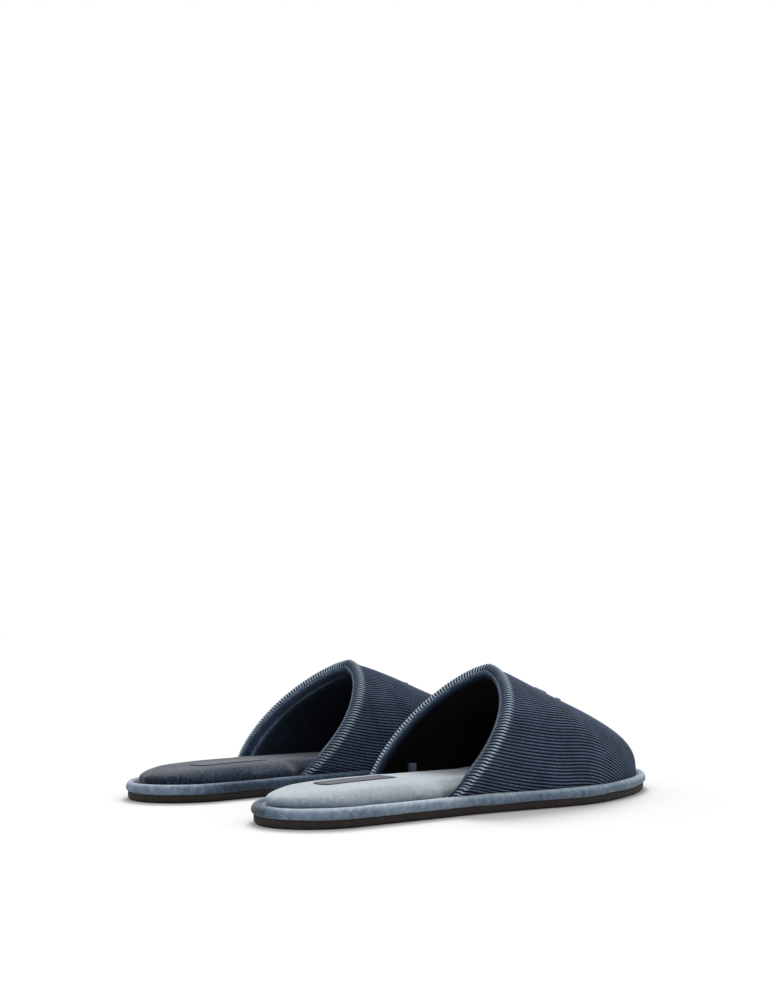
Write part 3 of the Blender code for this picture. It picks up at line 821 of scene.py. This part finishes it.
def ridge_height(y, inset):
    """Height of the ridge above the board at each place along the slipper."""
    slope = (RIDGE_FRONT[1] - RIDGE_REAR[1]) / (RIDGE_FRONT[0] - RIDGE_REAR[0])
    line = RIDGE_REAR[1] + slope * (y - RIDGE_REAR[0]) - BASE_Z - inset * math.hypot(1.0, slope)
    toe = LENGTH - WALL_INSET - inset
    nose = NOSE_START - inset
    share = np.clip((y - nose) / (toe - nose), 0.0, 1.0)
    return np.maximum(line * (1.0 - share**NOSE_POWER) ** (1.0 / NOSE_POWER), 0.0)


def edge_place(angle, rise):
    """Y of the rear edge where the line at angle has risen by this share of the arch's height."""
    base = EDGE_BASE_OUTER + (EDGE_BASE_INNER - EDGE_BASE_OUTER) * angle / math.pi
    bow = EDGE_BOW_OUTER + (EDGE_BOW_INNER - EDGE_BOW_OUTER) * smooth_step(angle, 0.0, math.pi)
    return base + (RIDGE_REAR[0] - base) * np.clip(rise, 0.0, 1.5) ** bow


class UpperSurface:
    """One layer of the upper, as a table of cross sections from behind the rear edge to the toe."""

    def __init__(self, inset):
        self.inset = inset
        ring = outline(WALL_INSET + inset, 900)
        ring = np.roll(ring, -int(np.argmin(ring[:, 1])), axis=0)
        toe = int(np.argmax(ring[:, 1]))
        outer, inner = ring[: toe + 1], np.vstack([ring[toe:], ring[:1]])[::-1]
        start, end = min(EDGE_BASE_OUTER, EDGE_BASE_INNER) - 0.001, ring[toe, 1] - 1e-5
        self.ys = start + (end - start) * np.sin(np.linspace(0.0, math.pi / 2, 320))
        self.angles = np.linspace(0.0, math.pi, 241)
        right = np.interp(self.ys, outer[:, 1], outer[:, 0])[:, None]
        left = np.interp(self.ys, inner[:, 1], inner[:, 0])[:, None]
        cosine, sine = np.cos(self.angles), np.abs(np.sin(self.angles))
        across = 2.0 / ACROSS_POWER
        self.x = (right + left) / 2 + (right - left) / 2 * np.sign(cosine) * np.abs(cosine) ** across
        lean = RIDGE_LEAN * (1.0 - smooth_step(self.ys, *LEAN_FADE))
        self.x = self.x + lean[:, None] * sine ** across
        rise = sine ** (2.0 / UPWARD_POWER)
        behind = self.ys[:, None] - edge_place(self.angles, rise)
        near_edge = np.exp(-(np.maximum(behind, 0.0) / FLARE_REACH) ** 2)
        flare = rise * (1.0 - rise) * (0.56 - rise) * np.sign(cosine)
        self.x = self.x + near_edge * (EDGE_FLARE * flare + EDGE_UPRIGHT * sine**across)
        self.z = BASE_Z + ridge_height(self.ys, inset)[:, None] * rise
        steps = np.hypot(np.diff(self.x, axis=1), np.diff(self.z, axis=1))
        arcs = np.concatenate([np.zeros((len(self.ys), 1)), np.cumsum(steps, axis=1)], axis=1)
        middle = arcs[:, len(self.angles) // 2]
        self.arcs = arcs - middle[:, None]
        self.grid = np.linspace(self.arcs.min(), self.arcs.max(), 801)
        rows = range(len(self.ys))
        self.grid_x = np.array([np.interp(self.grid, self.arcs[j], self.x[j]) for j in rows])
        self.grid_z = np.array([np.interp(self.grid, self.arcs[j], self.z[j]) for j in rows])

    def edge(self, angle):
        """Y and arc where the slanted rear edge crosses the line at angle."""
        top = float(ridge_height(np.array([RIDGE_REAR[0]]), self.inset)[0])
        heights = between_columns(self.z, self.angles, angle)
        gap = self.ys - edge_place(angle, (heights - BASE_Z) / top)
        after = max(int(np.argmax(gap > 0)), 1)
        pair = slice(after - 1, after + 1)
        arcs = between_columns(self.arcs[pair], self.angles, angle)
        return np.interp(0.0, gap[pair], self.ys[pair]), np.interp(0.0, gap[pair], arcs)

    def line(self, start, arc):
        """The line at a constant distance from the ridge, from start until it meets the platform."""
        girth = np.abs(self.arcs[:, 0 if arc < 0 else -1])
        rows = np.flatnonzero((self.ys > start) & (girth > abs(arc)))
        ys = [start, *self.ys[rows]]
        after = rows[-1] + 1 if len(rows) else len(self.ys)
        if after < len(self.ys):
            last = girth[after - 1]
            share = (last - abs(arc)) / max(last - girth[after], 1e-9)
            ys.append(ys[-1] + share * (self.ys[after] - ys[-1]))
        if len(ys) < 3 or ys[-1] - start < 0.006:
            ys = [start, start + 0.003, start + 0.006]
        return self.points(ys, arc)

    def points(self, ys, arc):
        """Points at the given places along the slipper, all at one distance from the ridge."""
        x = np.interp(ys, self.ys, between_columns(self.grid_x, self.grid, arc))
        z = np.interp(ys, self.ys, between_columns(self.grid_z, self.grid, arc))
        return np.column_stack([x, ys, z])

    def strip(self, angle, first=0.0):
        """The line that starts a distance in front of where angle crosses the rear edge."""
        start, arc = self.edge(angle)
        return self.line(start + first, arc)


def between_columns(table, places, place):
    """The column of a table at a place between its even columns."""
    spot = np.clip((place - places[0]) / (places[1] - places[0]), 0.0, len(places) - 1.001)
    first = int(spot)
    return table[:, first] * (1.0 - spot + first) + table[:, first + 1] * (spot - first)


def unit(vectors):
    return vectors / np.maximum(np.linalg.norm(vectors, axis=-1, keepdims=True), 1e-12)


def thinned(points, outward, share=1.0):
    """Inner points of the wall moved towards its outer face near the platform."""
    low = 1.0 - smooth_step(points[..., 2], BASE_Z, BASE_Z + TAPER_HEIGHT)
    flat = outward * (1.0, 1.0, 0.0)
    return points + unit(flat) * (low * TAPER * WALL * share)[..., None]


def surface_normals(sheet):
    """Outward directions of a grid of points, [column][row]."""
    across = np.gradient(sheet, axis=0)
    along = np.gradient(sheet, axis=1)
    return unit(np.cross(along, across))


def bump_at(values, place, spread):
    """1 at a place, and fading to 0 on both sides of it."""
    return np.exp(-(((values - place) / spread) ** 2))


def rib_angles():
    """Where each column of the corduroy crosses the rear edge, and its place on its rib."""
    surface = UpperSurface(0.0)
    angles = np.linspace(0.0, math.pi, 400)
    arcs = np.array([surface.edge(angle)[1] for angle in angles])
    low, high = arcs[0], arcs[-1]
    count = int((high - low) / RIB_PITCH)
    columns = np.arange(count * RIB_COLUMNS + 1) / RIB_COLUMNS
    wanted = low + (high - low) * columns / count
    return np.interp(wanted, arcs, angles), columns


def roll_frame(angles):
    """Round the rear edge: its centre, radius, outward and rearward directions for each angle."""
    face_layer, back_layer = UpperSurface(0.0), UpperSurface(WALL)
    lines = [face_layer.strip(angle) for angle in angles]
    near = np.array([line[0] for line in lines])
    ahead = np.array([resampled(line, 0.001 / distances(line)[-1:])[0] for line in lines])
    inner = np.array([back_layer.strip(angle)[0] for angle in angles])
    far = thinned(inner, unit(near - inner))
    out = unit(near - far)
    back = near - ahead
    back -= out * (back * out).sum(axis=1)[:, None]
    back[:, 2] = np.maximum(back[:, 2], 0.0)
    return (near + far) / 2, np.linalg.norm(near - far, axis=1) / 2, out, unit(back)


def round_roll(roll, turns, deeper=0.0):
    """Points on the roll at turns from its outer side, and their outward directions."""
    centre, radius, out, back = roll
    away = np.cos(turns)[None, :, None] * out[:, None] + np.sin(turns)[None, :, None] * back[:, None]
    return centre[:, None] + (radius - deeper)[:, None, None] * away, away


def corduroy(side, looks):
    """The ribbed cloth: from the rear of the rolled edge, over its outer shoulder, to the toe."""
    face_layer = UpperSurface(0.0)
    angles, columns = rib_angles()
    crowns = np.abs(np.sin(math.pi * columns))
    face = []
    near_steps = np.linspace(0.0, 0.014, 18)
    for angle in angles:
        line = face_layer.strip(angle)
        fine = near_steps / max(distances(line)[-1], 0.030)
        shares = np.concatenate([fine, np.linspace(fine[-1], 1.0, FACE_ROWS - len(fine) + 1)[1:]])
        face.append(resampled(line, shares))
    face = np.array(face)
    outward = surface_normals(face)
    turns = np.linspace(CLOTH_END, 0.0, ROLL_ROWS + 1)[:-1]
    rolled, roll_out = round_roll(roll_frame(angles), turns)
    base = np.concatenate([rolled, face], axis=1)
    normal = unit(np.concatenate([roll_out, outward], axis=1))
    # distance along the cloth from the start of the outer face, behind it negative
    walked = distances(base)
    walked -= walked[:, ROLL_ROWS][:, None]
    bulge = bump_at(walked, KNUCKLE_PLACE, KNUCKLE_SPREAD)
    uneven = wobble(base.reshape(-1, 3), 0.030, 11).reshape(walked.shape) * 0.0004
    uneven *= smooth_step(walked, 0.0, 0.02)
    padding = KNUCKLE_HEIGHT * bulge - 0.0003 * bump_at(walked, 0.0075, 0.0030) + uneven
    ribs = RIB_HEIGHT * (0.75 + 0.75 * bulge) * (crowns[:, None] ** 0.8 - 0.5) * 2
    tucked = 1.0 - smooth_step(walked, walked[:, :1], walked[:, :1] + 0.0012)
    push = (padding + ribs) * (1.0 - tucked) - 0.0003 * tucked
    low = smooth_step(base[:, :, 2], BASE_Z, BASE_Z + 0.002)
    top = base + normal * (push * (0.3 + 0.7 * low))[..., None]
    picks = [*range(0, base.shape[1], 3), base.shape[1] - 1][::-1]
    under = (base + normal * (padding - SKIN * (0.9 - 0.5 * tucked))[..., None])[:, picks]
    strips = np.concatenate([top, under], axis=1)
    strips[:, :, 2] = np.maximum(strips[:, :, 2], BASE_Z - 0.0002)
    hidden = np.zeros(under.shape[:2])
    crown = np.concatenate([np.repeat(crowns[:, None], top.shape[1], axis=1), hidden], axis=1)
    # painted highlight on the rib crowns at the rolled edge's shoulder, stored for the material
    knuckle_highlight = bump_at(walked, looks["knuckle_highlight_place"](angles)[:, None], 0.0021)
    knuckle_highlight = np.concatenate([knuckle_highlight, hidden], axis=1)
    arc_place = np.repeat((columns * RIB_PITCH)[:, None], strips.shape[1], axis=1)
    along_place = np.concatenate([walked, walked[:, picks]], axis=1)
    piece = closed_strips(
        side, "corduroy_upper", strips, looks["corduroy"],
        fabric=np.stack([arc_place, along_place], axis=-1),
        stored={"crown": crown, "knuckle_highlight": knuckle_highlight},
    )
    stands_for(side, piece, "corduroy", "vamp_outer")
    side.node("upper_foam")


def crowded_angles(columns):
    """Angles round the arch, closer together near the platform."""
    share = np.linspace(0.0, 1.0, columns)
    return np.clip(math.pi * share - 0.5 * np.sin(2 * math.pi * share) / 2, 1e-3, math.pi - 1e-3)


def layer_sheet(inset, angles, rows, first):
    """A grid of points on one layer of the upper, starting a distance in front of the rear edge."""
    layer = UpperSurface(inset)
    shares = 1.0 - np.cos(np.linspace(0.0, math.pi / 2, rows))
    return np.array([resampled(layer.strip(angle, first), shares) for angle in angles])


def lining(side, looks):
    """Soft cloth from the corduroy's end, round the inner half of the roll and on to the toe."""
    angles = crowded_angles(150)
    turns = np.linspace(CLOTH_END + 0.03, math.pi, 12)
    roll = roll_frame(angles)
    sheets = []
    for inset, deeper in ((WALL - SKIN, SKIN), (WALL, 0.0)):
        rolled, _ = round_roll(roll, turns, deeper)
        inside = layer_sheet(inset, angles, 46, 0.0012)
        outward = surface_normals(inside)
        inside = thinned(inside, outward)
        if not deeper:
            crease = wobble(inside.reshape(-1, 3), 0.022, 17).reshape(inside.shape[:2])
            rise = smooth_step(inside[..., 2], 0.010, 0.022)
            inside = inside + outward * (crease * 0.0004 * rise)[..., None]
        sheets.append(np.concatenate([rolled, inside], axis=1))
    back, face = sheets
    strips = np.concatenate([face, back[:, ::-1]], axis=1)
    strips[:, :, 2] = np.maximum(strips[:, :, 2], BASE_Z)
    # painted highlight at the rim and painted shade inside; the hidden back is dark
    painted_light = looks["lining_painted_light"](distances(face), angles[:, None])
    painted_light = np.concatenate([painted_light, np.zeros_like(painted_light)], axis=1)
    piece = closed_strips(side, "lining", strips, looks["lining"], stored={"painted_light": painted_light})
    stands_for(side, piece, "lining_fabric", "vamp_lining")
    side.node("upper_foam")


def upper_foam(side, looks):
    angles = crowded_angles(60)
    sheets = []
    for inset in (SKIN + 0.0008, WALL - SKIN - 0.0008):
        sheet = layer_sheet(inset, angles, 30, WALL / 2 + 0.001)
        sheets.append(thinned(sheet, surface_normals(sheet), share=inset / WALL))
    strips = np.concatenate([sheets[0], sheets[1][:, ::-1]], axis=1)
    piece = closed_strips(side, "upper_foam", strips, looks["foam"])
    stands_for(side, piece, "foam", "vamp_padding")


def edge_cord(side, looks):
    """The padding cord inside the rolled rear edge."""
    centre, radius, _, _ = roll_frame(np.linspace(0.05, math.pi - 0.05, 90))
    points, faces = tube_mesh(centre, np.maximum(radius - SKIN - 0.0006, 0.0006), 12)
    piece = new_piece(side, "edge_cord", points, faces, looks["foam"])
    stands_for(side, piece, "foam", "edge_roll")


def opening_seam(side, looks):
    """Fine stitches where the corduroy meets the lining on the roll."""
    roll = roll_frame(np.linspace(0.04, math.pi - 0.04, 200))
    path = round_roll(roll, np.array([CLOTH_END + 0.02]))[0][:, 0]
    points, faces = stitches(path, 0.0026, 0.0022, 0.00030)
    piece = new_piece(side, "opening_seam", points, faces, looks["pale_thread"])
    stands_for(side, piece, "blue_thread", "lining_seam")


def crease_seam(side, looks):
    """Dark stitches in the crease on top of the band, and loose ends at the upper's corners."""
    made = [stitches(with_height(outline(CREASE_INSET), 0.0089), 0.0034, 0.0029, 0.00038, closed=True)]
    ring = outline(CREASE_INSET, 900)
    shares = np.linspace(0.0, 1.0, 8)[:, None]
    rng = np.random.default_rng(3)
    for base_y, sign in ((EDGE_BASE_OUTER, 1.0), (EDGE_BASE_INNER, -1.0)):
        half = ring[ring[:, 0] * sign > 0]
        spot = half[int(np.argmin(np.abs(half[:, 1] - base_y + 0.004)))]
        for _ in range(5):
            start = np.array([spot[0], spot[1] + rng.uniform(-0.004, 0.005), 0.0096])
            drift = np.array([rng.uniform(-0.4, 1.0) * sign, rng.uniform(-1.0, 1.0), 0.55])
            reach = rng.uniform(0.0025, 0.0050)
            bend = rng.normal(size=3) * (0.001, 0.001, 0.0004)
            droop = np.array([0.0, 0.0, 0.0024])
            curve = start + drift * reach * shares + bend * np.sin(math.pi * shares) - droop * shares**2
            made.append(tube_mesh(curve, 0.00013, 5))
    points, faces = joined(made)
    piece = new_piece(side, "crease_seam", points, faces, looks["dark_thread"])
    stands_for(side, piece, "navy_thread", "welt_seam")


def motif(side, looks):
    """A small plain lozenge of satin stitches on the ridge, with a short bar beside it."""
    surface = UpperSurface(-0.0006)
    made = []

    def stitch(y, arc, reach, steps, crown, radius):
        """One stitch across the ridge, centred at arc, with its middle raised by crown."""
        turns = np.linspace(-1.0, 1.0, steps)
        line = np.vstack([surface.points([y], arc + reach * turn) for turn in turns])
        line[:, 2] += crown * np.cos(1.4 * turns)
        made.append(tube_mesh(line, radius, 6))

    for share in np.linspace(-1.0, 1.0, 17):
        width = MOTIF_HALF * (1.0 - abs(share)) * 0.75 + 0.0004
        stitch(MOTIF_Y + MOTIF_HALF * share, MOTIF_ARC, width, 7, 0.0003, 0.00042)
    for step in range(4):
        stitch(MOTIF_Y + 0.010 + step * 0.0006, MOTIF_ARC - 0.005, 0.0012, 5, 0.0, 0.00035)
    points, faces = joined(made)
    piece = new_piece(side, "motif", points, faces, looks["motif_thread"])
    stands_for(side, piece, "motif_stitching", "motif")


def size_tag(side, looks):
    """A blank folded tape tag standing in the crease on the inner side."""
    low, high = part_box(side.node("size_tag"))
    centre = (np.array(low) + np.array(high)) / 2 - side.origin
    centre[0] *= side.sign
    width, tall, gap, thick = 0.0040, 0.0106, 0.0007, 0.00028
    turns = np.linspace(0.0, math.pi, 9)
    layers = []
    for layer in (gap, gap - thick):
        fold = np.column_stack([-layer * np.cos(turns), tall / 2 - layer + layer * np.sin(turns)])
        layers.append(np.vstack([(-layer, -tall / 2), fold, (layer, -tall / 2)]))
    x, z = np.vstack([layers[0], layers[1][::-1]]).T
    strips, spots = [], []
    for along in np.linspace(-0.5, 0.5, 13):
        lean = 0.0012 * math.sin(along * 5) * (z / tall + 0.5)
        y = np.full(len(x), along * width)
        strips.append(centre + np.column_stack([x + lean, y, z]))
        spots.append(np.column_stack([y, z]))
    piece = closed_strips(side, "size_tag", np.array(strips), looks["tag"], np.array(spots))
    stands_for(side, piece, "tag_tape", "size_tag")


def midsole_board(side, looks):
    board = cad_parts[side.node("midsole_board")]
    board.data.materials.clear()
    board.data.materials.append(looks["board"])


# --- painted light: light and shade painted into the velour and the lining, for each slipper -----

def near_pad_painted_light(points):
    """Pale as painted sheen, with painted shade low at the heel's outer corner."""
    heel = 1.0 - smooth_step(points[:, 1], 0.0, 0.055)
    low = 1.0 - smooth_step(points[:, 2], 0.0095, 0.0150)
    return 0.90 - 0.34 * low * (0.35 + 0.65 * heel) + 0.04 * wobble(points, 0.020, 21)


def far_pad_painted_light(points):
    """Dark all over, as painted shade."""
    return 0.05 + 0.04 * wobble(points, 0.020, 22)


def near_band_painted_light(points):
    """Painted light and shade: dark round the heel, pale along the outer side, slate towards the toe, with a
    painted highlight along the top.
    """
    away = smooth_step(points[:, 0] + 0.3 * points[:, 1], -0.010, 0.016)
    away = away * (1.0 - 0.25 * smooth_step(points[:, 1], 0.10, 0.20))
    top = smooth_step(points[:, 2], 0.0068, 0.0094)
    return 0.20 + 0.52 * away + 0.16 * top * away + 0.06 * wobble(points, 0.015, 23)


def far_band_painted_light(points):
    """Painted light and shade: pale round the heel and dark further forward, with a painted highlight along
    the top.
    """
    heel = 1.0 - smooth_step(points[:, 1], 0.004, 0.055)
    top = smooth_step(points[:, 2], 0.0080, 0.0110)
    return 0.30 + 0.42 * heel + 0.10 * top + 0.07 * wobble(points, 0.015, 24)


def near_lining_painted_light(walked, _angle):
    """A painted highlight line at the rim of the opening, then painted shade."""
    return 0.24 * (1.0 - smooth_step(walked, 0.001, 0.006)) + 0.36 * bump_at(walked, 0.0008, 0.0009)


def far_lining_painted_light(walked, angle):
    """A painted highlight line at the rim, a soft painted highlight stripe past it on the far side, and
    painted shade further in.
    """
    rim = bump_at(walked, 0.0012, 0.0012)
    stripe = bump_at(walked, 0.0085, 0.0022) * (1.0 - smooth_step(angle, 0.9, 1.7))
    return 0.14 + 0.14 * (1.0 - smooth_step(walked, 0.004, 0.020)) + 0.36 * rim + 0.50 * stripe


def near_knuckle_highlight(angles):
    """Where round the rolled edge the ribs get a painted highlight: further back on the inner side."""
    return 0.0005 - 0.0042 * smooth_step(angles, 1.3, 2.1)


def far_knuckle_highlight(angles):
    """The same, further back on the outer side."""
    return 0.0005 - 0.0042 * (1.0 - smooth_step(angles, 1.0, 1.8))


PIECES = (
    outsole, platform_band, insole, heel_label, corduroy, lining, upper_foam, edge_cord,
    opening_seam, crease_seam, motif, size_tag, midsole_board,
)
# for each slipper, the functions that paint light and shade into its cloth
LIGHT_PAINTED_IN = {
    "right": {
        "pad_painted_light": near_pad_painted_light, "band_painted_light": near_band_painted_light, "lining_painted_light": near_lining_painted_light, "knuckle_highlight_place": near_knuckle_highlight,
    },
    "left": {
        "pad_painted_light": far_pad_painted_light, "band_painted_light": far_band_painted_light, "lining_painted_light": far_lining_painted_light, "knuckle_highlight_place": far_knuckle_highlight,
    },
}


def main():
    right, left = Side("right"), Side("left")
    add_camera(right)
    add_floor()
    add_lights()
    looks = {
        "eva": outsole_finish(), "band": knit_band_finish(), "velour": velour_finish(),
        "corduroy": corduroy_finish(), "lining": lining_finish(), "foam": foam_finish(),
        "board": board_finish(),
        "label": tape_finish("label_tape", colour(38, 44, 56), colour(66, 72, 84), 1100.0),
        "tag": tape_finish("tag_tape", colour(44, 53, 68), colour(112, 126, 144), 1300.0),
        "pale_thread": thread_finish("blue_thread", colour(60, 76, 96), colour(150, 166, 182)),
        "dark_thread": thread_finish("navy_thread", colour(18, 24, 36), colour(50, 62, 80)),
        "motif_thread": thread_finish("motif_thread", colour(70, 90, 115), colour(120, 142, 165)),
    }
    looks["pad"] = settled_pad()
    for side in (right, left):
        for piece in PIECES:
            piece(side, looks | LIGHT_PAINTED_IN[side.name])


main()
